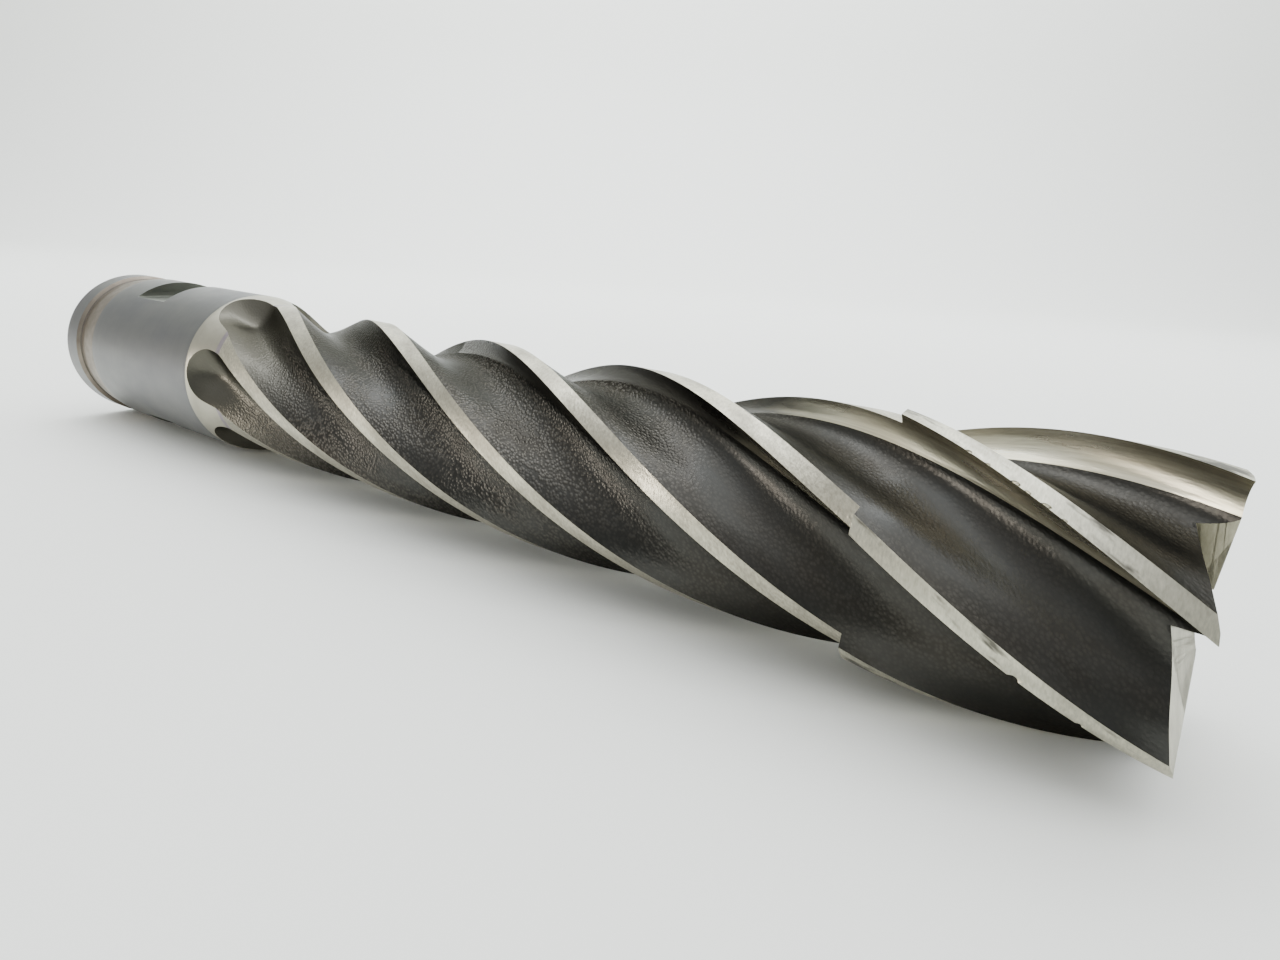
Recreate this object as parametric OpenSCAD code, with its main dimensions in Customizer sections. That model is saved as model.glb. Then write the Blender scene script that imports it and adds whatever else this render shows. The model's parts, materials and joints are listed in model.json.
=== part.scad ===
// End mill, long series: a plain and grooved drive shank welded to a six-flute spiral cutter.
// The tool's axis lies along +X, from the shank's rear face at x = 0 to the cutting end.
// The drive flat faces +Z. Angles round the axis start at +Y and turn towards +Z.

/* [Shank] */
// Diameter of the ground shank
shank_d = 50.8; // [44:0.1:61]
// Length of the shank, from its rear face to the weld
shank_len = 82.55; // [72:0.05:110]
// Length of the full-diameter rim behind the locking groove
rim_len = 8.5; // [6:0.1:10]
// Length of the locking groove, rim wall to the end of its taper
groove_len = 12.4; // [8:0.1:14]
// Diameter at the bottom of the locking groove
groove_d = 48.26; // [44:0.01:49.5]
// Length of the groove's steep wall beside the rim
groove_wall = 0.7; // [0.4:0.1:1.5]
// Bevel on the rear face's outer edge
rear_bevel = 0.8; // [0.3:0.1:1.5]

/* [Drive flats] */
// Distance of the upper flat's middle from the rear face
flat_at = 43.66; // [42:0.01:52]
// Length of the upper flat along the shank
flat_len = 17.78; // [12:0.01:20]
// Depth of the upper flat below the shank's surface
flat_depth = 4.85; // [3:0.01:6]
// Distance of the lower flat's middle from the rear face
back_flat_at = 44.45; // [42:0.01:52]
// Length of the lower flat along the shank
back_flat_len = 17.78; // [12:0.01:20]
// Depth of the lower flat below the shank's surface
back_flat_depth = 5.79; // [3:0.01:6.5]

/* [Centre holes] */
// Mouth diameter of the rear centre hole
rear_mouth_d = 12; // [8:0.5:16]
// Diameter of the pilot drilling at the bottom of both centre holes
pilot_d = 5; // [3:0.5:7]
// Depth of the pilot drilling beyond each cone
pilot_depth = 5; // [3:0.5:8]
// Included angle of both centre holes
centre_angle = 60; // [60:1:90]
// Mouth diameter of the recess in the middle of the cutting end
tip_mouth_d = 12; // [9:0.5:16]

/* [Cutter] */
// Diameter over the cutting edges
cutter_d = 50.8; // [44:0.1:56]
// Length of the cutter, from the weld to the cutting end
cutter_len = 260.85; // [180:0.05:320]
// Length of the full-diameter cutting part in front of the relieved neck
tip_len = 50.2; // [30:0.1:76]
// Diameter of the relieved neck over its lands
neck_d = 46.8; // [39:0.1:48]
// Length of full shank diameter kept on the cutter in front of the weld
seat_len = 1.3; // [0.5:0.1:4]
// Length of the cone from the seat down to the neck
cone_len = 10.5; // [6:0.1:16]

/* [Flutes] */
// Number of flutes
flutes = 6; // [5:1:7]
// Length over which a flute makes one full turn round the axis
lead = 282.6; // [240:0.1:340]
// Angle of the first cutting edge, carried back to the rear face
phase = 90; // [0:1:120]
// Width of the ground land at full diameter, as an angle
land_angle = 7.5; // [6:0.1:10]
// Forward lean of the cutting face
rake_angle = 6; // [2:1:14]
// Radius from the axis to the straight back of each tooth
back_r = 15.2; // [14:0.1:17]
// Radius in the bottom of the flute
gullet_r = 6.5; // [4:0.1:8]
// Outward swell of the tooth back
back_swell = 0.5; // [0:0.1:1.5]
// Distance from the weld to where the flutes reach full depth
fade_end = 19.5; // [16:0.1:30]
// Radius of the curve that lifts the flutes out behind the neck
fade_r = 12.5; // [10:0.1:14]

/* [Cutting end] */
// Dish of the end teeth towards the axis
dish_angle = 2; // [0:0.5:4]
// Relief behind each end cutting edge
end_relief = 7; // [4:1:12]
// Width of the end relief, measured back from the edge
end_land = 1.8; // [1:0.1:4]
// Slope of the ground heel behind the end relief
heel_angle = 19; // [14:1:26]

/* [Drawing] */
// Distance between stations along the flutes
station_step = 6.5; // [6:0.5:10]
// Facets round each exact cylinder
facets = 128; // [64:16:192]

/* [Hidden] */

shank_r = shank_d / 2;
tip_r = cutter_d / 2;
neck_r = neck_d / 2;
groove_r = groove_d / 2;
weld_x = shank_len;
cone_start = weld_x + seat_len;
cone_end = cone_start + cone_len;
end_x = weld_x + cutter_len;
tip_start = end_x - tip_len;
// A cut runs this far past the surface that it opens
over = 1;
// The step down to the neck is ground square, so two stations stand this close together
step_gap = 0.05;
// Angle between two points of the cutting face that sit on the land together
land_shift = 0.2;
// Angle by which neighbouring end cuts overlap, so that no skin is left between them
wedge_lap = 0.1;
pitch = 360 / flutes;
helix_slope = 2 * PI * tip_r / lead;
// Distance that the run-out leans along X for each radian round the flute
fade_lean = tip_r * helix_slope / (1 + pow(helix_slope, 2));

function lerp(a, b, t) = a + (b - a) * t;
function polar(r, a) = [r * cos(a), r * sin(a)];
function radius(p) = norm(p);
function turn(p) = atan2(p[1], p[0]);

// ---- One flute in section: x runs out through the cutting edge, y runs round towards the cut ----
heel_turn = pitch - land_angle;
gullet_x = back_r + gullet_r * (1 + sin(rake_angle));
function rake_point(x) = [x, -(tip_r - x) * tan(rake_angle)];
gullet_mid = rake_point(gullet_x) + gullet_r * [-sin(rake_angle), cos(rake_angle)];
back_start = gullet_mid - [gullet_r, 0];
heel_point = polar(tip_r, heel_turn);
// Where the straight back reaches the neck's radius, as a share of its length
back_run = heel_point - back_start;
neck_share = let (
    qa = back_run * back_run, qb = back_start * back_run, qc = back_start * back_start - pow(neck_r, 2))
    (sqrt(pow(qb, 2) - qa * qc) - qb) / qa;

rake_points = [rake_point(tip_r), rake_point(neck_r)];
gullet_points = [for (a = [270 - rake_angle : -18 : 181]) gullet_mid + polar(gullet_r, a)];
back_points = [for (t = [0 : 1 / 5 : 1])
    back_start + back_run * neck_share * t + [back_swell * sin(180 * t), 0]];
land_points = [for (t = [0 : 1 / 2 : 0.99]) polar(tip_r, heel_turn + land_angle * t)];
flute_points = concat(rake_points, gullet_points, back_points, land_points);
ring = len(flute_points);
ring_all = ring * flutes;

// ---- The blank that the flutes are cut in, and the way they fade out behind the neck ----
function blank_r(x) =
    x <= cone_start ? shank_r :
    x < cone_end ? lerp(shank_r, neck_r, (x - cone_start) / cone_len) :
    x <= tip_start ? neck_r : tip_r;
function fade_lift(x) =
    let (back = weld_x + fade_end - x)
    back <= 0 ? 0 :
    back >= fade_r ? shank_r :
    fade_r - sqrt(pow(fade_r, 2) - pow(back, 2));
function cut_r(i, x) =
    radius(flute_points[i]) + fade_lift(x + fade_lean * turn(flute_points[i]) * PI / 180);
// A cutting-face point that the blank leaves out sits just behind the next one, on the land
function cut_turn(i, x) =
    i < len(rake_points) && cut_r(i, x) > blank_r(x) + 0.001
    ? cut_turn(i + 1, x) - land_shift
    : turn(flute_points[i]);
function section_point(i, x) =
    let (k = i % ring, round_at = phase + 360 * x / lead + pitch * floor(i / ring) + cut_turn(k, x))
    concat([x], polar(min(cut_r(k, x), blank_r(x)), round_at));

fade_x = [for (t = [0 : 1 / 10 : 0.99]) lerp(cone_start, weld_x + fade_end, t)];
neck_first = weld_x + fade_end;
neck_count = ceil((tip_start - neck_first) / station_step);
neck_x = [for (i = [0 : neck_count]) lerp(neck_first, tip_start, i / neck_count)];
tip_count = ceil(tip_len / station_step);
tip_x = [for (i = [0 : tip_count]) lerp(tip_start + step_gap, end_x + over, i / tip_count)];
stations = concat([weld_x], fade_x, neck_x, tip_x);

// ---- Sub-parts ----
// A body that turns round the tool's axis, from an outline of [x, radius] points
module turned(outline) {
    rotate([0, 90, 0]) rotate([0, 0, 90])
        rotate_extrude($fn = facets) polygon([for (p = outline) [p[1], p[0]]]);
}

// A pocket with square end walls, open across the shank; side is 1 for the top, -1 for the bottom
module drive_pocket(at, length, depth, side) {
    tall = depth + over;
    translate([at - length / 2, -shank_r - over, side > 0 ? shank_r - depth : -shank_r - over])
        cube([length, shank_d + 2 * over, tall]);
}

module shank() {
    color("#8b9196") difference() {
        turned([
            [0, 0], [0, shank_r - rear_bevel], [rear_bevel, shank_r], [rim_len, shank_r],
            [rim_len + groove_wall, groove_r], [rim_len + groove_len, shank_r],
            [shank_len, shank_r], [shank_len, 0]
        ]);
        drive_pocket(flat_at, flat_len, flat_depth, 1);
        drive_pocket(back_flat_at, back_flat_len, back_flat_depth, -1);
        cone_depth = (rear_mouth_d - pilot_d) / 2 / tan(centre_angle / 2);
        turned([
            [-over, 0], [-over, rear_mouth_d / 2], [0, rear_mouth_d / 2], [cone_depth, pilot_d / 2],
            [cone_depth + pilot_depth, pilot_d / 2], [cone_depth + pilot_depth, 0]
        ]);
    }
}

// The fluted bar, as one skin stretched over every station
module fluted_bar() {
    rows = len(stations);
    points = [for (x = stations) for (i = [0 : ring_all - 1]) section_point(i, x)];
    sides = [for (s = [0 : rows - 2]) for (i = [0 : ring_all - 1])
        let (j = (i + 1) % ring_all, a = s * ring_all, b = a + ring_all)
        each [[a + i, b + j, a + j], [a + i, b + i, b + j]]];
    rear = [for (i = [0 : ring_all - 1]) i];
    front = [for (i = [ring_all - 1 : -1 : 0]) (rows - 1) * ring_all + i];
    polyhedron(points, concat(sides, [rear, front]), convexity = 12);
}

// The space above one end tooth: it starts set_back behind the edge and falls away at a slope
module end_wedge(slope, set_back) {
    reach = tip_r + 4 * over;
    drop = set_back * tan(end_relief);
    corners = [[0, 0], [reach, 0], reach * [cos(pitch + wedge_lap), -sin(pitch + wedge_lap)]];
    function floor_x(p) = -drop - (tip_r - p[0]) * tan(dish_angle) + (p[1] + set_back) * tan(slope);
    hull() polyhedron(
        [for (lift = [0, 1]) for (p = corners)
            [lift == 0 ? floor_x(p) : 4 * over, p[0], p[1]]],
        [[0, 1, 2], [3, 5, 4]]);
}

module fluted_cutter() {
    color("#4b4a46") union() difference() {
        fluted_bar();
        for (k = [0 : flutes - 1])
            translate([end_x, 0, 0]) rotate([phase + 360 * end_x / lead + pitch * k, 0, 0]) {
                end_wedge(end_relief, 0);
                end_wedge(heel_angle, end_land);
            }
        recess_depth = (tip_mouth_d - pilot_d) / 2 / tan(centre_angle / 2);
        translate([end_x, 0, 0]) mirror([1, 0, 0]) turned([
            [-over, 0], [-over, tip_mouth_d / 2], [over, tip_mouth_d / 2], [over + recess_depth, pilot_d / 2],
            [over + recess_depth + pilot_depth, pilot_d / 2], [over + recess_depth + pilot_depth, 0]
        ]);
    }
}

shank();
fluted_cutter();
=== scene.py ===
# A long end mill lying on a pale floor: a ground shank and a spiral cutter, both rebuilt fine for the looks
import bpy
import bmesh
import json
import math
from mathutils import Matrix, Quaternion, Vector

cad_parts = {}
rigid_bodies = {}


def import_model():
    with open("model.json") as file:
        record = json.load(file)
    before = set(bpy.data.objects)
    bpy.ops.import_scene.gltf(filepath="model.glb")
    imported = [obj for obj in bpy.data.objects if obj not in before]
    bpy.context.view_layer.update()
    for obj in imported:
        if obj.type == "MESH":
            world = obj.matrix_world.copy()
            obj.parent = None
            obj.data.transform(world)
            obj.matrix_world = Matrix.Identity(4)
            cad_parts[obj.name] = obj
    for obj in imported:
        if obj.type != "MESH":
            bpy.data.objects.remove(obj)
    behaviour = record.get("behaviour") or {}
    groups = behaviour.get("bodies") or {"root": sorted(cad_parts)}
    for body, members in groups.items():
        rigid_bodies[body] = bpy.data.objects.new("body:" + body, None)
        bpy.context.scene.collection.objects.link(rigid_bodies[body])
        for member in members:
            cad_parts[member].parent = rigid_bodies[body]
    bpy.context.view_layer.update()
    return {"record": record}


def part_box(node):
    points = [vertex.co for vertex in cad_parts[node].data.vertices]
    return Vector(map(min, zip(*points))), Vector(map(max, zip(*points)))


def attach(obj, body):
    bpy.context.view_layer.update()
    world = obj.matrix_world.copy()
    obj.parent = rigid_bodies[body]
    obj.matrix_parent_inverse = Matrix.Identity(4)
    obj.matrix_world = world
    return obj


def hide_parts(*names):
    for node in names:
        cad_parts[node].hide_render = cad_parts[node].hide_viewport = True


for leftover in list(bpy.data.objects):
    bpy.data.objects.remove(leftover)
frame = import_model()
mm = 0.001

# shared sizes come from the frame, so that both pieces meet where the solids do
mounts = {mount["name"]: mount for mount in frame["record"]["mounts"]}
shankRadius = mounts["shank_rim"]["dims"]["r_mm"] * mm
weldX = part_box("shank")[1][0]
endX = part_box("fluted_cutter")[1][0]


def toLinear(hexColour):
    channels = [int(hexColour[i:i + 2], 16) / 255 for i in (1, 3, 5)]
    return [c / 12.92 if c <= 0.04045 else ((c + 0.055) / 1.055) ** 2.4 for c in channels] + [1.0]


def addNode(tree, kind, values=None, links=None, **settings):
    node = tree.nodes.new(kind)
    for key, value in settings.items():
        setattr(node, key, value)
    for key, value in (values or {}).items():
        node.inputs[key].default_value = value
    for key, socket in (links or {}).items():
        tree.links.new(socket, node.inputs[key])
    return node


# Finishes. Colours are sRGB, and every pattern is sized from the real marks in millimetres.
# These are shared by all of them: where a noise is cut into patches, lines and pebbles, how faint
# the pebbles get, and how far the edge between two finishes wanders.
patterns = {
    "cloudCut": (0.35, 0.68), "lineCut": (0.3, 0.7), "pebbleCut": (0.75, 0.1), "pebblesFaint": 0.25,
    "pebblesFirst": 0.15, "raggedEdge": 14 * mm}


def blendColours(tree, share, first, second):
    mix = addNode(tree, "ShaderNodeMix", links={0: share}, data_type="RGBA")
    for socket, colour in ((mix.inputs[6], first), (mix.inputs[7], second)):
        if isinstance(colour, str):
            socket.default_value = toLinear(colour)
        else:
            tree.links.new(colour, socket)
    return mix.outputs[2]


def patchiness(tree, where, stretch, size, low, high, detail=3.0):
    # a noise whose patches are about `size` across, drawn out by `stretch`, and cut to a share from 0 to 1
    placed = addNode(tree, "ShaderNodeMapping", {"Scale": [1 / (size * s) for s in stretch]},
                     {"Vector": where})
    noise = addNode(tree, "ShaderNodeTexNoise", {"Scale": 1.0, "Detail": detail, "Roughness": 0.55},
                    {"Vector": placed.outputs[0]})
    return addNode(tree, "ShaderNodeMapRange", {"From Min": low, "From Max": high},
                   {"Value": noise.outputs[0]}).outputs[0]


def frontShare(tree, along, clouds, finish):
    # 0 towards the shank and 1 towards the cutting end, with an uneven edge between the two
    ragged = addNode(tree, "ShaderNodeMath", {1: patterns["raggedEdge"]}, {0: clouds},
                     operation="MULTIPLY").outputs[0]
    reach = addNode(tree, "ShaderNodeMath", links={0: along, 1: ragged}, operation="ADD").outputs[0]
    return addNode(tree, "ShaderNodeMapRange", {
        "From Min": finish["rearUntil"], "From Max": finish["frontFrom"]}, {"Value": reach},
        interpolation_type="SMOOTHSTEP").outputs[0]


def pebbleAndSparkleShare(tree, where, along, clouds, finish):
    # pebbles start past the run-out, come and go with the clouds, and fade further on; the same share sets
    # their bumps and the painted highlight on their tops
    placed = addNode(tree, "ShaderNodeMapping", {"Scale": [1 / finish["pebbleSize"]] * 3},
                     {"Vector": where})
    cells = addNode(tree, "ShaderNodeTexVoronoi", {"Scale": 1.0}, {"Vector": placed.outputs[0]})
    share = addNode(tree, "ShaderNodeMapRange", {
        "From Min": patterns["pebbleCut"][0], "From Max": patterns["pebbleCut"][1]},
        {"Value": cells.outputs["Distance"]}, interpolation_type="SMOOTHSTEP").outputs[0]
    comeAndGo = addNode(tree, "ShaderNodeMapRange", {"To Min": patterns["pebblesFaint"]},
                        {"Value": clouds})
    fadingOut = addNode(tree, "ShaderNodeMapRange", {
        "From Min": finish["pebblesFadeFrom"], "From Max": finish["pebblesFadeUntil"], "To Min": 1.0,
        "To Max": finish["pebblesFadeLeft"]}, {"Value": along})
    started = addNode(tree, "ShaderNodeMapRange", {
        "From Min": finish["pebblesFrom"], "From Max": finish["pebblesFull"],
        "To Min": patterns["pebblesFirst"]}, {"Value": along})
    for factor in (comeAndGo, fadingOut, started):
        share = addNode(tree, "ShaderNodeMath", links={0: share, 1: factor.outputs[0]},
                        operation="MULTIPLY").outputs[0]
    return share


def steelFinish(name, finish, straightened=False):
    material = bpy.data.materials.new(name)
    material.use_nodes = True
    tree = material.node_tree
    shader = tree.nodes["Principled BSDF"]
    shader.inputs["Metallic"].default_value = finish["metallic"]
    if "edgeColour" in finish:
        shader.inputs["Specular Tint"].default_value = toLinear(finish["edgeColour"])
    if straightened:
        where = addNode(tree, "ShaderNodeAttribute", attribute_name="straightened").outputs["Vector"]
    else:
        where = addNode(tree, "ShaderNodeTexCoord").outputs["Object"]
    along = addNode(tree, "ShaderNodeSeparateXYZ", links={0: where}).outputs["X"]
    clouds = patchiness(tree, where, finish["cloudStretch"], finish["cloudSize"], *patterns["cloudCut"])
    lines = patchiness(tree, where, finish["lineStretch"], finish["lineSize"], *patterns["lineCut"], 2.0)
    colour = blendColours(tree, clouds, finish["colour"], finish["cloudColour"])
    lineShare = addNode(tree, "ShaderNodeMath", {1: finish["lineDepth"]}, {0: lines}, operation="MULTIPLY")
    colour = blendColours(tree, lineShare.outputs[0], colour, finish["lineColour"])
    if "stainColour" in finish:
        stains = patchiness(tree, where, finish["stainStretch"], finish["stainSize"], *finish["stainCut"])
        colour = blendColours(tree, stains, colour, finish["stainColour"])
    if "rearColour" in finish:
        colour = blendColours(tree, frontShare(tree, along, clouds, finish), finish["rearColour"], colour)
    grain = patchiness(tree, where, finish["grainStretch"], finish["grainSize"], 0.0, 1.0, 1.5)
    height = addNode(tree, "ShaderNodeMath", {1: finish["grainHeight"]}, {0: grain},
                     operation="MULTIPLY").outputs[0]
    # painted highlight: the pebble tops are painted lighter, standing in for their sparkle; the same share
    # raises their bumps
    if "paintedPebbleSparkle" in finish:
        pebbles = pebbleAndSparkleShare(tree, where, along, clouds, finish)
        colour = blendColours(tree, pebbles, colour, finish["paintedPebbleSparkle"])
        height = addNode(tree, "ShaderNodeMath", {1: finish["pebbleHeight"]}, {0: pebbles, 2: height},
                         operation="MULTIPLY_ADD").outputs[0]
    tree.links.new(colour, shader.inputs["Base Color"])
    rough = addNode(tree, "ShaderNodeMapRange", {
        "To Min": finish["roughness"][0], "To Max": finish["roughness"][1]}, {"Value": clouds})
    tree.links.new(rough.outputs[0], shader.inputs["Roughness"])
    bump = addNode(tree, "ShaderNodeBump", {"Strength": 1.0, "Distance": 1.0}, {"Height": height})
    tree.links.new(bump.outputs[0], shader.inputs["Normal"])
    return material


# Cylindrically ground alloy steel: the wheel leaves rings of about 0.1 mm, drawn 0.5 mm wide to show.
# It gives the eye a flat blue-grey satin that is lighter where it faces up.
groundShank = steelFinish("ground shank steel", {
    "metallic": 1.0, "roughness": (0.36, 0.44), "colour": "#737371", "cloudColour": "#6a6a6c",
    "cloudSize": 14 * mm, "cloudStretch": (1.6, 1, 1),
    "lineColour": "#646464", "lineDepth": 0.3, "lineSize": 0.5 * mm, "lineStretch": (1, 60, 60),
    "grainSize": 0.4 * mm, "grainStretch": (1, 40, 40), "grainHeight": 0.004 * mm})
# Turned and left unground, so it has kept a thin brown film from the furnace and a softer shine.
turnedGroove = steelFinish("turned groove steel", {
    "metallic": 1.0, "roughness": (0.38, 0.5), "colour": "#857d72", "cloudColour": "#766e64",
    "cloudSize": 5 * mm, "cloudStretch": (1, 1, 1),
    "lineColour": "#6d6458", "lineDepth": 0.4, "lineSize": 0.45 * mm, "lineStretch": (1, 50, 50),
    "grainSize": 0.45 * mm, "grainStretch": (1, 40, 40), "grainHeight": 0.006 * mm})
# Painted shade: the corner at the foot of the rim wall is painted nearly black and dull, standing in for
# the shade line there.
paintedShadeCorner = steelFinish("painted shade corner steel", {
    "metallic": 0.6, "roughness": (0.5, 0.65), "colour": "#5b564e", "cloudColour": "#6a645b",
    "cloudSize": 3 * mm, "cloudStretch": (1, 1, 1),
    "lineColour": "#2f2c28", "lineDepth": 0.5, "lineSize": 0.5 * mm, "lineStretch": (1, 8, 8),
    "grainSize": 0.4 * mm, "grainStretch": (1, 4, 4), "grainHeight": 0.01 * mm})
# Milled drive flat: a greener grey than the ground shank, with straight cutter marks across it.
milledFlat = steelFinish("milled flat steel", {
    "metallic": 1.0, "roughness": (0.4, 0.5), "colour": "#72746c", "cloudColour": "#62645c",
    "cloudSize": 4 * mm, "cloudStretch": (1, 2, 1),
    "lineColour": "#4c4e47", "lineDepth": 0.5, "lineSize": 0.6 * mm, "lineStretch": (1, 30, 30),
    "grainSize": 0.6 * mm, "grainStretch": (1, 30, 30), "grainHeight": 0.01 * mm})
# Cone, ground bright and plain: it gives the eye a warm silver ring.
groundCone = steelFinish("ground cone steel", {
    "metallic": 1.0, "roughness": (0.3, 0.38), "colour": "#aeaa99", "cloudColour": "#9d998a",
    "cloudSize": 6 * mm, "cloudStretch": (1, 1, 1),
    "lineColour": "#a9a79b", "lineDepth": 0.35, "lineSize": 0.4 * mm, "lineStretch": (1, 60, 60),
    "grainSize": 0.35 * mm, "grainStretch": (1, 40, 40), "grainHeight": 0.004 * mm})
# A collar that the land grinding missed: pale lilac temper colour over a smooth skin.
temperedCollar = steelFinish("tempered collar steel", {
    "metallic": 1.0, "roughness": (0.34, 0.42), "colour": "#a39a9d", "cloudColour": "#8d858c",
    "cloudSize": 2 * mm, "cloudStretch": (1, 1, 1),
    "lineColour": "#7a7178", "lineDepth": 0.3, "lineSize": 0.4 * mm, "lineStretch": (1, 20, 20),
    "grainSize": 0.5 * mm, "grainStretch": (1, 1, 1), "grainHeight": 0.01 * mm})
# Steam-oxidised flutes: blue-brown oxide over a form-ground surface. The skin is orange-peel, with
# pebbles of about 0.7 mm that come and go and fade towards the cutting end; their tops are painted
# lighter, a painted highlight of sparkle where the light catches them. Where the flutes run out the skin
# is smooth and painted paler, a painted reflection of the bright floor. It gives the eye a near-black
# pewter that goes light only where it is seen at a low angle, because the film is dark and glossy.
steamedFlute = steelFinish("steam oxidised flute steel", {
    "metallic": 0.95, "roughness": (0.28, 0.38), "colour": "#3d3d3b", "cloudColour": "#363430",
    "cloudSize": 12 * mm, "cloudStretch": (2, 1, 1),
    "lineColour": "#312d29", "lineDepth": 0.25, "lineSize": 5 * mm, "lineStretch": (1.5, 1, 1),
    "grainSize": 0.5 * mm, "grainStretch": (1.2, 1, 1), "grainHeight": 0.02 * mm,
    "paintedPebbleSparkle": "#5b5852", "pebbleSize": 0.7 * mm, "pebbleHeight": 0.16 * mm,
    "pebblesFrom": 92 * mm, "pebblesFull": 117 * mm,
    "pebblesFadeFrom": 215 * mm, "pebblesFadeUntil": 270 * mm, "pebblesFadeLeft": 0.2,
    # the paler rear colour is a painted reflection of the bright floor in the run-out scoops
    "rearColour": "#54524a", "rearUntil": 92 * mm, "frontFrom": 150 * mm, "edgeColour": "#b0b0ae"}, True)
# Lands, ground last over the oxide: bright and grainy, with fine lines across the spiral.
groundLand = steelFinish("ground land steel", {
    "metallic": 1.0, "roughness": (0.34, 0.46), "colour": "#cbc6b2", "cloudColour": "#a29e8e",
    "cloudSize": 5 * mm, "cloudStretch": (2, 1, 1),
    "lineColour": "#7f7b70", "lineDepth": 0.6, "lineSize": 0.55 * mm, "lineStretch": (1, 1.4, 1.4),
    "grainSize": 0.5 * mm, "grainStretch": (1, 1.4, 1.4), "grainHeight": 0.07 * mm}, True)
# Lands of the cutting part: the same, with grey smears of work metal and coolant.
stainedLand = steelFinish("ground cutting land steel", {
    "metallic": 1.0, "roughness": (0.36, 0.5), "colour": "#d0cdba", "cloudColour": "#aaa798",
    "cloudSize": 4 * mm, "cloudStretch": (3, 1, 1),
    "lineColour": "#7f7d71", "lineDepth": 0.45, "lineSize": 0.4 * mm, "lineStretch": (1, 3, 3),
    "stainColour": "#5f5d55", "stainSize": 3 * mm, "stainStretch": (3, 1, 1), "stainCut": (0.56, 0.66),
    "grainSize": 0.35 * mm, "grainStretch": (1, 2, 2), "grainHeight": 0.02 * mm}, True)
# Cutting face: ground again near the end and bright there, and still under its oxide further back.
# The bright part starts unevenly, so the two finishes fade into each other over 30 mm. The pebbles
# fade out where the hollow grinding begins.
regroundFace = steelFinish("reground cutting face steel", {
    "metallic": 1.0, "roughness": (0.26, 0.36), "colour": "#efead4", "cloudColour": "#d2caaf",
    "cloudSize": 5 * mm, "cloudStretch": (5, 1, 1),
    "lineColour": "#958d76", "lineDepth": 0.45, "lineSize": 0.6 * mm, "lineStretch": (30, 1, 1),
    "grainSize": 0.45 * mm, "grainStretch": (5, 1, 1), "grainHeight": 0.03 * mm,
    # the pebble tops here carry the same painted highlight as on the flutes
    "paintedPebbleSparkle": "#5b5852", "pebbleSize": 0.7 * mm, "pebbleHeight": 0.16 * mm,
    "pebblesFrom": 92 * mm, "pebblesFull": 117 * mm,
    "pebblesFadeFrom": 165 * mm, "pebblesFadeUntil": 195 * mm, "pebblesFadeLeft": 0.0,
    "rearColour": "#42403b", "rearUntil": 262 * mm, "frontFrom": 292 * mm}, True)
# End teeth, sharpened on a tool grinder: bright, with straight fine scratches.
groundEnd = steelFinish("ground end steel", {
    "metallic": 1.0, "roughness": (0.28, 0.38), "colour": "#b6b29f", "cloudColour": "#a19d8b",
    "cloudSize": 4 * mm, "cloudStretch": (1, 1, 2),
    "lineColour": "#8b8878", "lineDepth": 0.5, "lineSize": 0.35 * mm, "lineStretch": (1, 1, 30),
    "grainSize": 0.3 * mm, "grainStretch": (1, 1, 20), "grainHeight": 0.006 * mm})
print("finishes made")


def addObject(name, data):
    thing = bpy.data.objects.new(name, data)
    bpy.context.collection.objects.link(thing)
    return thing


def meshFrom(name, points, faces, materials):
    mesh = bpy.data.meshes.new(name)
    mesh.from_pydata(points, [], faces)
    for material in materials:
        mesh.materials.append(material)
    return mesh


def smoothFaces(mesh):
    for polygon in mesh.polygons:
        polygon.use_smooth = True


def toPlainMesh(source, name):
    evaluated = source.evaluated_get(bpy.context.evaluated_depsgraph_get())
    mesh = bpy.data.meshes.new_from_object(evaluated)
    bpy.data.objects.remove(source)
    return addObject(name, mesh)


def outwards(piece):
    # joins points that fall together, and turns every face outwards
    shape = bmesh.new()
    shape.from_mesh(piece.data)
    bmesh.ops.remove_doubles(shape, verts=shape.verts, dist=0.0005 * mm)
    bmesh.ops.recalc_face_normals(shape, faces=shape.faces)
    shape.to_mesh(piece.data)
    shape.free()
    return piece


def solidFromShape(name, shape, material):
    mesh = meshFrom(name, [], [], [material])
    shape.to_mesh(mesh)
    shape.free()
    return outwards(addObject(name, mesh))


def cutAway(piece, cutter):
    cut = piece.modifiers.new("cut", "BOOLEAN")
    cut.operation = "DIFFERENCE"
    cut.solver = "MANIFOLD"
    cut.material_mode = "TRANSFER"
    cut.object = cutter
    result = toPlainMesh(piece, piece.name)
    bpy.data.objects.remove(cutter)
    return result


def turnedSolid(name, outline, materials, around):
    # outline is a list of (x, radius, number of the material from here to the next point)
    points = []
    faces = []
    kinds = []
    for x, radius, _ in outline:
        for i in range(around):
            angle = math.tau * i / around
            points.append((x, radius * math.cos(angle), radius * math.sin(angle)))
    for row in range(len(outline) - 1):
        for i in range(around):
            j = (i + 1) % around
            a = row * around
            faces.append((a + i, a + j, a + around + j, a + around + i))
            kinds.append(outline[row][2])
    mesh = meshFrom(name, points, faces, materials)
    mesh.polygons.foreach_set("material_index", kinds)
    return outwards(addObject(name, mesh))


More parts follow.
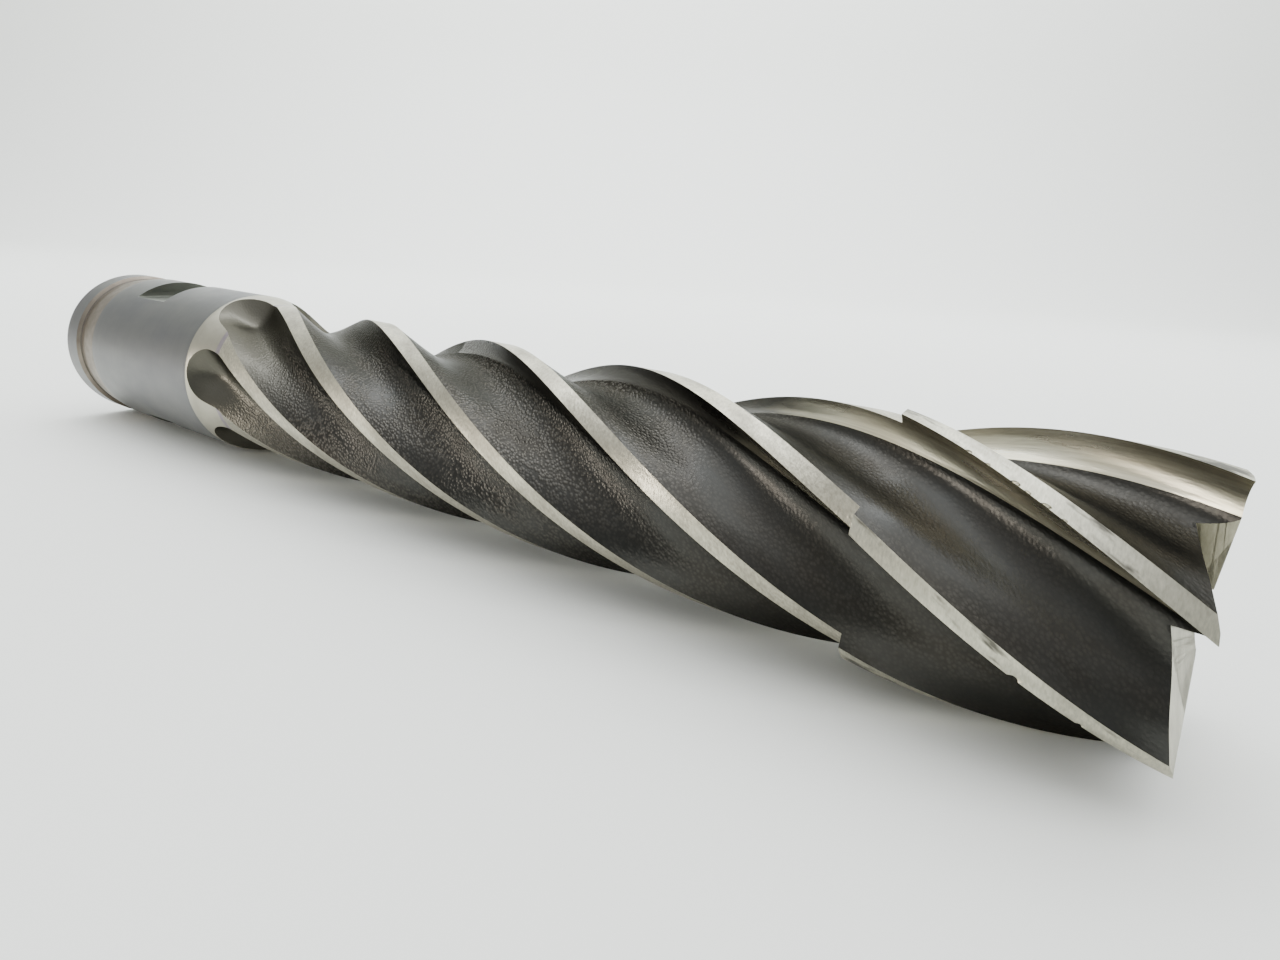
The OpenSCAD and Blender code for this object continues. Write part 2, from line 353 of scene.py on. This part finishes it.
# the unrolled flute: a sheet point is (place along the axis, angle, radius), and the tree wraps it round
def makeSpiralTree(finishes):
    tree = bpy.data.node_groups.new("wrapSpiral", "GeometryNodeTree")
    face = tree.interface
    face.new_socket("Geometry", in_out="INPUT", socket_type="NodeSocketGeometry")
    face.new_socket("Lead", in_out="INPUT", socket_type="NodeSocketFloat")
    face.new_socket("Phase", in_out="INPUT", socket_type="NodeSocketFloat")
    face.new_socket("Copies", in_out="INPUT", socket_type="NodeSocketInt")
    face.new_socket("Geometry", in_out="OUTPUT", socket_type="NodeSocketGeometry")
    given = addNode(tree, "NodeGroupInput").outputs

    def maths(operation, a, b=None):
        if isinstance(b, float):
            return addNode(tree, "ShaderNodeMath", {1: b}, {0: a}, operation=operation).outputs[0]
        links = {0: a} if b is None else {0: a, 1: b}
        return addNode(tree, "ShaderNodeMath", None, links, operation=operation).outputs[0]

    place = addNode(tree, "GeometryNodeInputPosition").outputs[0]
    flat = addNode(tree, "ShaderNodeSeparateXYZ", links={0: place}).outputs
    twist = maths("DIVIDE", maths("MULTIPLY", flat["X"], math.tau), given["Lead"])
    angle = maths("ADD", maths("ADD", twist, flat["Y"]), given["Phase"])
    across = maths("MULTIPLY", maths("COSINE", angle), flat["Z"])
    upright = maths("MULTIPLY", maths("SINE", angle), flat["Z"])
    wrapped = addNode(tree, "ShaderNodeCombineXYZ", links={0: flat["X"], 1: across, 2: upright})
    sheet = addNode(tree, "GeometryNodeSetPosition", links={
        "Geometry": given["Geometry"], "Position": wrapped.outputs[0]})
    seeds = addNode(tree, "GeometryNodePoints", links={"Count": given["Copies"]})
    number = addNode(tree, "GeometryNodeInputIndex").outputs[0]
    turn = maths("MULTIPLY", maths("DIVIDE", number, given["Copies"]), math.tau)
    spin = addNode(tree, "ShaderNodeCombineXYZ", links={0: turn})
    turned = addNode(tree, "FunctionNodeEulerToRotation", links={0: spin.outputs[0]})
    copies = addNode(tree, "GeometryNodeInstanceOnPoints", links={
        "Points": seeds.outputs[0], "Instance": sheet.outputs[0], "Rotation": turned.outputs[0]})
    solid = addNode(tree, "GeometryNodeRealizeInstances", links={0: copies.outputs[0]})
    result = solid.outputs[0]
    for kind, finish in enumerate(finishes):
        mark = addNode(tree, "GeometryNodeInputNamedAttribute", {"Name": "finish"}, data_type="INT")
        chosen = addNode(tree, "FunctionNodeCompare", {3: kind}, {2: mark.outputs["Attribute"]},
                         data_type="INT", operation="EQUAL")
        result = addNode(tree, "GeometryNodeSetMaterial", {"Material": finish}, {
            "Geometry": result, "Selection": chosen.outputs[0]}).outputs[0]
    addNode(tree, "NodeGroupOutput", links={0: result})
    return tree


def wrapSheet(name, points, faces, kinds, tree):
    mesh = meshFrom(name, points, faces, [steamedFlute])
    mesh.attributes.new("finish", "INT", "FACE").data.foreach_set("value", kinds)
    sheet = addObject(name, mesh)
    modifier = sheet.modifiers.new("spiral", "NODES")
    modifier.node_group = tree
    wanted = {"Lead": spiral["lead"], "Phase": spiral["phase"], "Copies": spiral["flutes"]}
    for item in tree.interface.items_tree:
        if item.in_out == "INPUT" and item.name in wanted:
            modifier[item.identifier] = wanted[item.name]
    return outwards(toPlainMesh(sheet, name))


# how the spiral cutter is cut, in metres and radians. ridgeFrom, ridgeFull and rakeFrom are places along
# the tool, and the fade and rise places count from the weld.
spiral = {
    "flutes": 6, "lead": 282.6 * mm, "phase": math.radians(90),
    "tipRadius": 25.4 * mm, "neckRadius": 23.4 * mm, "tipLength": 50.2 * mm,
    "seatLength": 1.3 * mm, "coneLength": 10.5 * mm, "collarLength": 2.1 * mm,
    "landAngle": math.radians(7.5), "landRelief": 0.18 * mm, "reliefShare": 0.1, "stepBreak": 0.12 * mm,
    "ridgeRadius": 19.3 * mm, "rakeHollow": 0.9 * mm,  # the ground cutting face ends in a low ridge
    "ridgeFrom": 120 * mm, "ridgeFull": 190 * mm, "rakeFrom": 165 * mm,
    "backRadius": 15.2 * mm, "gulletReach": 8.5 * mm, "gulletSoftness": 4.6 * mm, "backSwell": 0.4 * mm,
    "groundPull": (2.4 * mm, 0.5 * mm), "milledPull": (2.6 * mm, 2.4 * mm),
    "rakePoints": 11, "gulletPoints": 15, "backPoints": 10,
    "fadeEnd": 16.9 * mm, "fadeReach": 12.5 * mm, "fadePower": 2.4,
    "riseEnd": 45 * mm, "riseHeight": 2.4 * mm,
    "fadeStations": ((-2.5 * mm, 11 * mm, 0.2 * mm), (11 * mm, 20 * mm, 0.5 * mm)),
    "neckStep": 1.3 * mm, "tipStep": 1.0 * mm, "coneStep": 1.0 * mm,
    "coneRound": ((-0.2 * mm, 0.0), (0.3 * mm, 0.07 * mm)), "coneFirst": 1.2 * mm,
    "dish": math.radians(2), "endRelief": math.radians(7), "endHeel": math.radians(19),
    "endLand": 1.8 * mm, "wedgeLap": math.radians(0.1), "wedgeReach": 4 * mm,
    "endGash": math.radians(12), "gashRadius": 16.5 * mm, "gashFall": math.radians(18),
    "recessStart": 1 * mm, "recessRadius": 6 * mm, "pilotRadius": 2.5 * mm, "pilotDepth": 5 * mm,
    "sharpFrom": math.radians(14)}
# chips in two of the cutting edges: (distance behind the end, number of the tooth, length, depth)
nicks = [
    (36.9 * mm, 0, 1.6 * mm, 0.4 * mm), (33.4 * mm, 0, 1.2 * mm, 0.3 * mm),
    (28.8 * mm, 0, 2.0 * mm, 0.5 * mm), (26.7 * mm, 0, 1.3 * mm, 0.35 * mm),
    (23.9 * mm, 0, 2.2 * mm, 0.45 * mm), (20.9 * mm, 0, 1.2 * mm, 0.3 * mm),
    (22.5 * mm, 1, 3.2 * mm, 0.55 * mm), (12.9 * mm, 1, 1.6 * mm, 0.3 * mm)]
# the finishes of the cutter's surfaces, in the order of their numbers
cutterFinishes = {
    "flute": steamedFlute, "rake": regroundFace, "end": groundEnd, "cone": groundCone,
    "collar": temperedCollar, "land": groundLand, "tip land": stainedLand, "weld": groundShank}
finishNumber = {surface: number for number, surface in enumerate(cutterFinishes)}
chipWobble = 0.18  # how uneven the chips are, as a share of their size
overcut = 1.5 * mm  # how far a cut runs past the surface that it opens
centreSlope = math.tan(math.radians(30))  # half the included angle of both centre holes
holeFacets = 96
pitchAngle = math.tau / spiral["flutes"]
tipStart = endX - spiral["tipLength"]
coneStart = weldX + spiral["seatLength"]
coneEnd = coneStart + spiral["coneLength"]


def clamped(share):
    return min(1.0, max(0.0, share))


def spread(start, stop, step):
    # evenly spaced places from start up to, but not including, stop
    count = max(1, math.ceil((stop - start) / step))
    return [start + (stop - start) * i / count for i in range(count)]


def bend(start, startPull, end, endPull, count):
    # points along a smooth curve that leaves start towards startPull and reaches end from endPull
    curve = []
    for i in range(count):
        t = i / (count - 1)
        weights = ((1 - t) ** 3, 3 * t * (1 - t) ** 2, 3 * t * t * (1 - t), t ** 3)
        curve.append(tuple(sum(w * p[k] for w, p in zip(weights, (start, startPull, endPull, end)))
                           for k in (0, 1)))
    return curve


def fluteSection(ridged):
    # returns (angle, radius, finish) from the cutting edge down into the gullet and up to the heel.
    # ridged goes from 0, the flute as it was milled, to 1, with the hollow cutting face ground into it
    tip = spiral["tipRadius"]
    ridge = spiral["ridgeRadius"]
    floor = (spiral["backRadius"], spiral["gulletReach"])
    floorPull = (spiral["backRadius"], spiral["gulletReach"] - spiral["gulletSoftness"])
    half = (tip - ridge) / 2
    hollow = spiral["rakeHollow"]
    rakeBend = (half ** 2 + hollow ** 2) / (2 * hollow)
    opening = math.asin(half / rakeBend)
    ground = []
    for i in range(spiral["rakePoints"]):
        a = opening - 2 * opening * i / (spiral["rakePoints"] - 1)
        ground.append((ridge + half + rakeBend * math.sin(a), rakeBend * (math.cos(opening) - math.cos(a))))
    inwards, sideways = spiral["groundPull"]
    ground += bend((ridge, 0.0), (ridge - inwards, sideways), floor, floorPull, spiral["gulletPoints"])[1:]
    neck = spiral["neckRadius"]
    inwards, sideways = spiral["milledPull"]
    milled = bend((neck, 0.0), (neck - inwards, sideways), floor, floorPull, len(ground) - 1)
    milled.insert(0, (tip, 0.0))
    section = [(g[0] * ridged + m[0] * (1 - ridged), g[1] * ridged + m[1] * (1 - ridged))
               for g, m in zip(ground, milled)]
    heelAngle = pitchAngle - spiral["landAngle"]
    heel = (tip * math.cos(heelAngle), tip * math.sin(heelAngle))
    for i in range(1, spiral["backPoints"] + 1):
        t = i / spiral["backPoints"]
        out = floor[0] + (heel[0] - floor[0]) * t + spiral["backSwell"] * math.sin(math.pi * t) ** 2
        section.append((out, floor[1] + (heel[1] - floor[1]) * t))
    rakeCount = spiral["rakePoints"]
    kinds = ["rake"] * rakeCount + ["flute"] * (len(section) - rakeCount)
    return [(math.atan2(t, u), math.hypot(t, u), kind) for (u, t), kind in zip(section, kinds)]


def fadeLift(x):
    # how far the flute's floor stands above its full depth: a slow rise, then a quick sweep out at the cone
    sweep = clamped((weldX + spiral["fadeEnd"] - x) / spiral["fadeReach"])
    rise = clamped((weldX + spiral["riseEnd"] - x) / spiral["riseEnd"])
    return spiral["fadeReach"] * sweep ** spiral["fadePower"] + spiral["riseHeight"] * rise ** 2


def makeFluteVoids(tree):
    skyIn = spiral["tipRadius"] + overcut
    skyOut = skyIn + overcut
    slope = math.tau * spiral["tipRadius"] / spiral["lead"]
    lean = spiral["tipRadius"] * slope / (1 + slope ** 2)  # the run-out leans along the axis
    heelAngle = pitchAngle - spiral["landAngle"]
    roofSteps = 8
    roof = [heelAngle * (1 - i / roofSteps) for i in range(roofSteps + 1)]
    stations = []
    for start, stop, step in spiral["fadeStations"]:
        stations += spread(weldX + start, weldX + stop, step)
    stations += spread(weldX + spiral["fadeStations"][-1][1], tipStart, spiral["neckStep"])
    stations += spread(tipStart, endX + overcut, spiral["tipStep"]) + [endX + overcut]
    points = []
    for x in stations:
        ridged = clamped((x - spiral["ridgeFrom"]) / (spiral["ridgeFull"] - spiral["ridgeFrom"]))
        section = fluteSection(ridged * ridged * (3 - 2 * ridged))
        lower = [(section[0][0], skyIn, "rake")] + section + [(section[-1][0], skyIn, "flute")]
        for angle, radius, _ in lower:
            points.append((x, angle, min(radius + fadeLift(x + lean * angle), skyIn)))
        for angle in roof:
            points.append((x, angle, skyOut))
    ring = len(lower) + len(roof)
    faces = []
    kinds = []
    for row in range(len(stations) - 1):
        for i in range(ring):
            j = (i + 1) % ring
            a = row * ring
            faces.append((a + i, a + j, a + ring + j, a + ring + i))
            onRake = (stations[row] > spiral["rakeFrom"] and i < len(lower)
                      and lower[i][2] == "rake" and lower[j][2] == "rake")
            kinds.append(finishNumber["rake" if onRake else "flute"])
    last = (len(stations) - 1) * ring
    faces.append(tuple(range(ring)))
    faces.append(tuple(last + i for i in range(ring)))
    kinds += [finishNumber["flute"]] * 2
    return wrapSheet("flute voids", points, faces, kinds, tree)


def makeBlank(tree):
    tip = spiral["tipRadius"]
    neck = spiral["neckRadius"]
    heel = pitchAngle - spiral["landAngle"]
    landSteps = 5
    heelSteps = 12
    angles = [-spiral["landAngle"] * (1 - i / landSteps) for i in range(landSteps)]
    angles += [heel * i / heelSteps for i in range(heelSteps + 1)]
    profile = [(weldX, 0.0, "weld"), (weldX, shankRadius, "weld")]
    for along, sunk in spiral["coneRound"]:
        profile.append((coneStart + along, shankRadius - sunk, "cone"))
    for x in spread(coneStart + spiral["coneFirst"], coneEnd, spiral["coneStep"]):
        share = (x - coneStart) / spiral["coneLength"]
        profile.append((x, shankRadius + (neck - shankRadius) * share, "cone"))
    profile.append((coneEnd, neck, "collar"))
    for x in spread(coneEnd + spiral["collarLength"], tipStart, spiral["neckStep"]):
        profile.append((x, neck, "land"))
    profile.append((tipStart, neck, "tip land"))
    profile.append((tipStart, tip - spiral["stepBreak"], "tip land"))
    blankEnd = endX + 0.5 * overcut
    for x in spread(tipStart + spiral["stepBreak"], blankEnd, spiral["tipStep"]):
        profile.append((x, tip, "tip land"))
    profile += [(blankEnd, tip, "tip land"), (blankEnd, 0.0, "tip land")]
    points = []
    for x, radius, _ in profile:
        for angle in angles:
            # behind each cutting edge the land falls away a little, so that it doesn't rub
            share = clamped(max(-angle / spiral["landAngle"],
                                (angle - heel) / (spiral["reliefShare"] * heel) + 1))
            relief = spiral["landRelief"] * share if x > tipStart and radius > neck else 0.0
            points.append((x, angle, max(0.0, radius - relief)))
    row = len(angles)
    faces = []
    kinds = []
    for r in range(len(profile) - 1):
        for i in range(row - 1):
            a = r * row + i
            faces.append((a, a + 1, a + row + 1, a + row))
            kinds.append(finishNumber[profile[r][2]])
    return wrapSheet("cutter blank", points, faces, kinds, tree)


def endWedges(name, slope, setBack, firstTooth, topRadius=spiral["tipRadius"], fall=spiral["dish"]):
    # the space above the end teeth: each wedge starts setBack behind its edge and falls away at slope,
    # and it dips towards the axis by the angle fall, from topRadius inwards
    tip = spiral["tipRadius"]
    reach = tip + spiral["wedgeReach"]
    lap = spiral["wedgeLap"]
    drop = setBack * math.tan(spiral["endRelief"])
    base = spiral["phase"] + math.tau * endX / spiral["lead"]
    points = []
    faces = []
    for k in range(firstTooth, spiral["flutes"], 2):
        turn = base + pitchAngle * k
        corners = [(0, 0), (reach, 0),
                   (reach * math.cos(pitchAngle + lap), -reach * math.sin(pitchAngle + lap))]
        a = len(points)
        for top in (False, True):
            for u, t in corners:
                floor = -drop - (topRadius - u) * math.tan(fall) + (t + setBack) * math.tan(slope)
                x = endX + (spiral["wedgeReach"] if top else floor)
                points.append((x, u * math.cos(turn) - t * math.sin(turn),
                               u * math.sin(turn) + t * math.cos(turn)))
        faces += [(a, a + 1, a + 2), (a + 3, a + 5, a + 4), (a, a + 3, a + 4, a + 1),
                  (a + 1, a + 4, a + 5, a + 2), (a + 2, a + 5, a + 3, a)]
    return outwards(addObject(name, meshFrom(name, points, faces, [groundEnd])))


def edgeNicks():
    # each chip is the bite of a long, uneven ball that is centred on the cutting edge
    shape = bmesh.new()
    for behind, tooth, length, depth in nicks:
        x = endX - behind
        angle = spiral["phase"] + math.tau * x / spiral["lead"] + pitchAngle * tooth
        blob = bmesh.ops.create_icosphere(shape, subdivisions=2, radius=1.0)["verts"]
        centre = Vector((x, spiral["tipRadius"] * math.cos(angle), spiral["tipRadius"] * math.sin(angle)))
        outward = Vector((0, math.cos(angle), math.sin(angle)))
        sideways = Vector((0, -math.sin(angle), math.cos(angle)))
        for i, vert in enumerate(blob):
            p = vert.co * (1 + chipWobble * math.sin(7.0 * i))
            along = Vector((p.x * length / 2, 0, 0))
            vert.co = centre + along + outward * p.y * depth + sideways * p.z * depth
    return solidFromShape("edge nicks", shape, groundEnd)


def straighten(piece):
    # stores each point with the spiral taken out, so that the flute patterns can follow the flutes
    mesh = piece.data
    values = []
    for vert in mesh.vertices:
        x, y, z = vert.co
        back = -math.tau * x / spiral["lead"]
        values += [x, y * math.cos(back) - z * math.sin(back), y * math.sin(back) + z * math.cos(back)]
    mesh.attributes.new("straightened", "FLOAT_VECTOR", "POINT").data.foreach_set("vector", values)


def finishSolid(piece, sharpFrom):
    smoothFaces(piece.data)
    piece.data.set_sharp_from_angle(angle=sharpFrom)


spiralTree = makeSpiralTree(cutterFinishes.values())
cutter = makeBlank(spiralTree)
print("blank", len(cutter.data.polygons), "faces")
cutter = cutAway(cutter, makeFluteVoids(spiralTree))
print("fluted", len(cutter.data.polygons), "faces")
# odd and even teeth are cut apart, because neighbouring wedges overlap
for first in (0, 1):
    cutter = cutAway(cutter, endWedges("end relief", spiral["endRelief"], 0.0, first))
    cutter = cutAway(cutter, endWedges("end heel", spiral["endHeel"], spiral["endLand"], first))
    cutter = cutAway(cutter, endWedges("end gash", spiral["endGash"], 0.0, first, spiral["gashRadius"],
                                       spiral["gashFall"]))
recessTop = endX + spiral["wedgeReach"]
recessMouth = endX - spiral["recessStart"]
recessDeep = recessMouth - (spiral["recessRadius"] - spiral["pilotRadius"]) / centreSlope
pilotDeep = recessDeep - spiral["pilotDepth"]
cutter = cutAway(cutter, turnedSolid("end recess", [
    (recessTop, 0.0, 0), (recessTop, spiral["recessRadius"], 0), (recessMouth, spiral["recessRadius"], 0),
    (recessDeep, spiral["pilotRadius"], 0), (pilotDeep, spiral["pilotRadius"], 0), (pilotDeep, 0.0, 0)],
    [groundEnd], holeFacets))
cutter = cutAway(cutter, edgeNicks())
cutter.name = "spiralCutter"
straighten(cutter)
finishSolid(cutter, spiral["sharpFrom"])
print("spiral cutter", len(cutter.data.polygons), "faces")

# how the shank is turned and milled, in metres. mouthFlare is what the centre hole's slope adds to its
# radius over mouthOver, the height by which that cut stands clear of the rear face.
shank = {
    "rearBevel": 0.8 * mm, "rimLength": 8.5 * mm, "grooveWall": 0.7 * mm, "grooveLength": 12.4 * mm,
    "grooveRadius": 24.13 * mm, "edgeBreak": 0.15 * mm,
    "flatAt": mounts["drive_flat"]["pos_m"][0], "flatHeight": mounts["drive_flat"]["pos_m"][2],
    "backFlatAt": mounts["rear_drive_flat"]["pos_m"][0],
    "backFlatHeight": mounts["rear_drive_flat"]["pos_m"][2],
    "flatLength": 17.78 * mm, "pocketOver": 2 * mm, "pocketRound": 0.4 * mm, "pocketSegments": 4,
    "taperFirst": 1 * mm, "taperStep": 1.2 * mm, "bodyStep": 2 * mm, "facets": 256,
    "mouthOver": 1 * mm, "mouthRadius": 6 * mm, "mouthFlare": 0.58 * mm,
    "pilotRadius": 2.5 * mm, "pilotDepth": 5 * mm, "sharpFrom": math.radians(18)}


def makeShank():
    # the third finish is the painted shade at the foot of the rim wall
    ground, turned, shadedCorner = range(3)
    edge = shank["edgeBreak"]
    bevel = shank["rearBevel"]
    rim = shank["rimLength"]
    groove = rim + shank["grooveWall"]
    taperEnd = rim + shank["grooveLength"]
    radius = shankRadius
    deep = shank["grooveRadius"]
    outline = [
        (0, 0, ground), (0, radius - bevel - edge, ground), (edge, radius - bevel, ground),
        (bevel - edge, radius - edge, ground), (bevel + edge, radius, ground),
        (rim - edge, radius, turned), (rim, radius - edge, turned),
        (groove - edge, deep + 2 * edge, shadedCorner), (groove + 2 * edge, deep, turned)]
    for x in spread(groove + shank["taperFirst"], taperEnd, shank["taperStep"]):
        share = (x - groove) / (taperEnd - groove)
        outline.append((x, deep + (radius - deep) * share, turned))
    for x in spread(taperEnd, weldX, shank["bodyStep"]):
        outline.append((x, radius, ground))
    outline += [(weldX, radius, ground), (weldX, 0, ground)]
    return turnedSolid("shankBar", outline, [groundShank, turnedGroove, paintedShadeCorner], shank["facets"])


def flatPocket(at, height):
    # a square-ended pocket open across the shank, its corners rounded by the cutter's worn edge
    side = 1 if height > 0 else -1
    shape = bmesh.new()
    bmesh.ops.create_cube(shape, size=1.0)
    tall = shankRadius + shank["pocketOver"] - abs(height)
    wide = 2 * shankRadius + 2 * shank["pocketOver"]
    for vert in shape.verts:
        vert.co = Vector((at + vert.co.x * shank["flatLength"], vert.co.y * wide,
                          height + side * tall * (vert.co.z + 0.5)))
    touching = 1e-6
    foot = [e for e in shape.edges if all(abs(v.co.z - height) < touching for v in e.verts)
            and abs(e.verts[0].co.x - e.verts[1].co.x) < touching]
    bmesh.ops.bevel(shape, geom=foot, offset=shank["pocketRound"], segments=shank["pocketSegments"],
                    profile=0.5, affect="EDGES")
    return solidFromShape("drive pocket", shape, milledFlat)


shankBar = makeShank()
shankBar = cutAway(shankBar, flatPocket(shank["flatAt"], shank["flatHeight"]))
shankBar = cutAway(shankBar, flatPocket(shank["backFlatAt"], shank["backFlatHeight"]))
centreDeep = (shank["mouthRadius"] - shank["pilotRadius"]) / centreSlope
pilotDeep = centreDeep + shank["pilotDepth"]
shankBar = cutAway(shankBar, turnedSolid("rear centre", [
    (-shank["mouthOver"], 0, 0), (-shank["mouthOver"], shank["mouthRadius"] + shank["mouthFlare"], 0),
    (centreDeep, shank["pilotRadius"], 0), (pilotDeep, shank["pilotRadius"], 0), (pilotDeep, 0, 0)],
    [turnedGroove], holeFacets))
shankBar.name = "shankBar"
finishSolid(shankBar, shank["sharpFrom"])
print("shank bar", len(shankBar.data.polygons), "faces")

for piece, node, steel in ((shankBar, "shank", "shank_steel"), (cutter, "fluted_cutter", "cutter_steel")):
    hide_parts(node)
    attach(piece, "root")
print("pieces tied to their nodes")

# a pale plain floor that curves up behind the tool, so that the camera sees no horizon line
studio = {
    "floorColour": "#f6f7f1", "floorRoughness": 0.6, "floorNear": -9.0, "halfWidth": 40.0,
    "bendAt": 1.2, "bendRadius": 0.5, "bendSteps": 16, "wallTop": 4.0,
    "away": Vector((-0.5592, 0.8290, 0.0)), "aside": Vector((0.8290, 0.5592, 0.0))}


def makeFloor():
    # away is the way that the camera looks, seen from above, and aside is square to it
    bendAt = studio["bendAt"]
    bendRadius = studio["bendRadius"]
    profile = [(studio["floorNear"], 0.0), (bendAt, 0.0)]
    for i in range(1, studio["bendSteps"] + 1):
        a = math.pi / 2 * i / studio["bendSteps"]
        profile.append((bendAt + bendRadius * math.sin(a), bendRadius * (1 - math.cos(a))))
    profile.append((bendAt + bendRadius, studio["wallTop"]))
    middle = Vector((endX / 2, 0, -shankRadius))
    points = []
    for distance, height in profile:
        for side in (-studio["halfWidth"], studio["halfWidth"]):
            points.append(middle + studio["away"] * distance + studio["aside"] * side
                          + Vector((0, 0, height)))
    faces = [(2 * i, 2 * i + 1, 2 * i + 3, 2 * i + 2) for i in range(len(profile) - 1)]
    material = bpy.data.materials.new("studio floor paint")
    material.use_nodes = True
    paint = material.node_tree.nodes["Principled BSDF"]
    paint.inputs["Base Color"].default_value = toLinear(studio["floorColour"])
    paint.inputs["Roughness"].default_value = studio["floorRoughness"]
    mesh = meshFrom("studioFloor", points, faces, [material])
    smoothFaces(mesh)
    addObject("studioFloor", mesh)


makeFloor()
print("floor laid")


def softLight(name, place, target, size, watts, colour):
    light = bpy.data.lights.new(name, "AREA")
    light.shape = "RECTANGLE"
    light.size = size[0]
    light.size_y = size[1]
    light.energy = watts
    light.color = toLinear(colour)[:3]
    lamp = addObject(name, light)
    lamp.location = place
    lamp.rotation_euler = (Vector(target) - Vector(place)).to_track_quat("-Z", "Y").to_euler()


# a large soft light overhead, one for the wall behind, and a small warm one low on the shank's side
softLight("overhead softbox", (0.08, 0.3, 1.2), (0.18, 0.0, 0.0), (2.4, 1.8), 22, "#f6fbff")
softLight("backdrop light", (-0.1, 0.55, 1.5), (-0.8, 1.5, 0.5), (2.0, 0.8), 46, "#f4f8ff")
softLight("low side light", (-0.66, -1.23, 0.19), (0.2, 0.0, 0.0), (0.45, 0.34), 7, "#fff7ee")
print("lights set")

sky = {
    "bright": "#fbfdff", "dark": "#6f7472", "strength": 1.5,
    "lean": (0.05, 0.52, 0.85), "darkUntil": -0.55, "brightFrom": 0.75}


def makeSky():
    # bright paper overhead and behind the tool, and a darker room on the camera's side
    world = bpy.data.worlds.new("studio air")
    world.use_nodes = True
    tree = world.node_tree
    where = addNode(tree, "ShaderNodeTexCoord").outputs["Generated"]
    lean = addNode(tree, "ShaderNodeVectorMath", {1: sky["lean"]}, {0: where}, operation="DOT_PRODUCT")
    share = addNode(tree, "ShaderNodeMapRange", {
        "From Min": sky["darkUntil"], "From Max": sky["brightFrom"]},
        {"Value": lean.outputs["Value"]}, interpolation_type="SMOOTHSTEP").outputs[0]
    colour = blendColours(tree, share, sky["dark"], sky["bright"])
    tree.links.new(colour, tree.nodes["Background"].inputs["Color"])
    tree.nodes["Background"].inputs["Strength"].default_value = sky["strength"]
    bpy.context.scene.world = world


makeSky()

# the camera stands low beside the cutting end and looks back along the tool
view = {
    "place": (0.33304, -0.14456, 0.05002), "azimuth": 34.01, "elevation": 16.53, "roll": 4.134,
    "lens": 22.448, "sensor": 36, "clipStart": 0.01}


def makeCamera():
    a = math.radians(view["azimuth"])
    e = math.radians(view["elevation"])
    back = Vector((math.sin(a) * math.cos(e), -math.cos(a) * math.cos(e), math.sin(e)))
    turn = (-back).to_track_quat("-Z", "Y") @ Quaternion((0, 0, 1), math.radians(view["roll"]))
    data = bpy.data.cameras.new("camera")
    data.lens = view["lens"]
    data.sensor_width = view["sensor"]
    data.clip_start = view["clipStart"]
    camera = addObject("camera", data)
    camera.location = view["place"]
    camera.rotation_euler = turn.to_euler()
    bpy.context.scene.camera = camera


makeCamera()
print("camera placed")
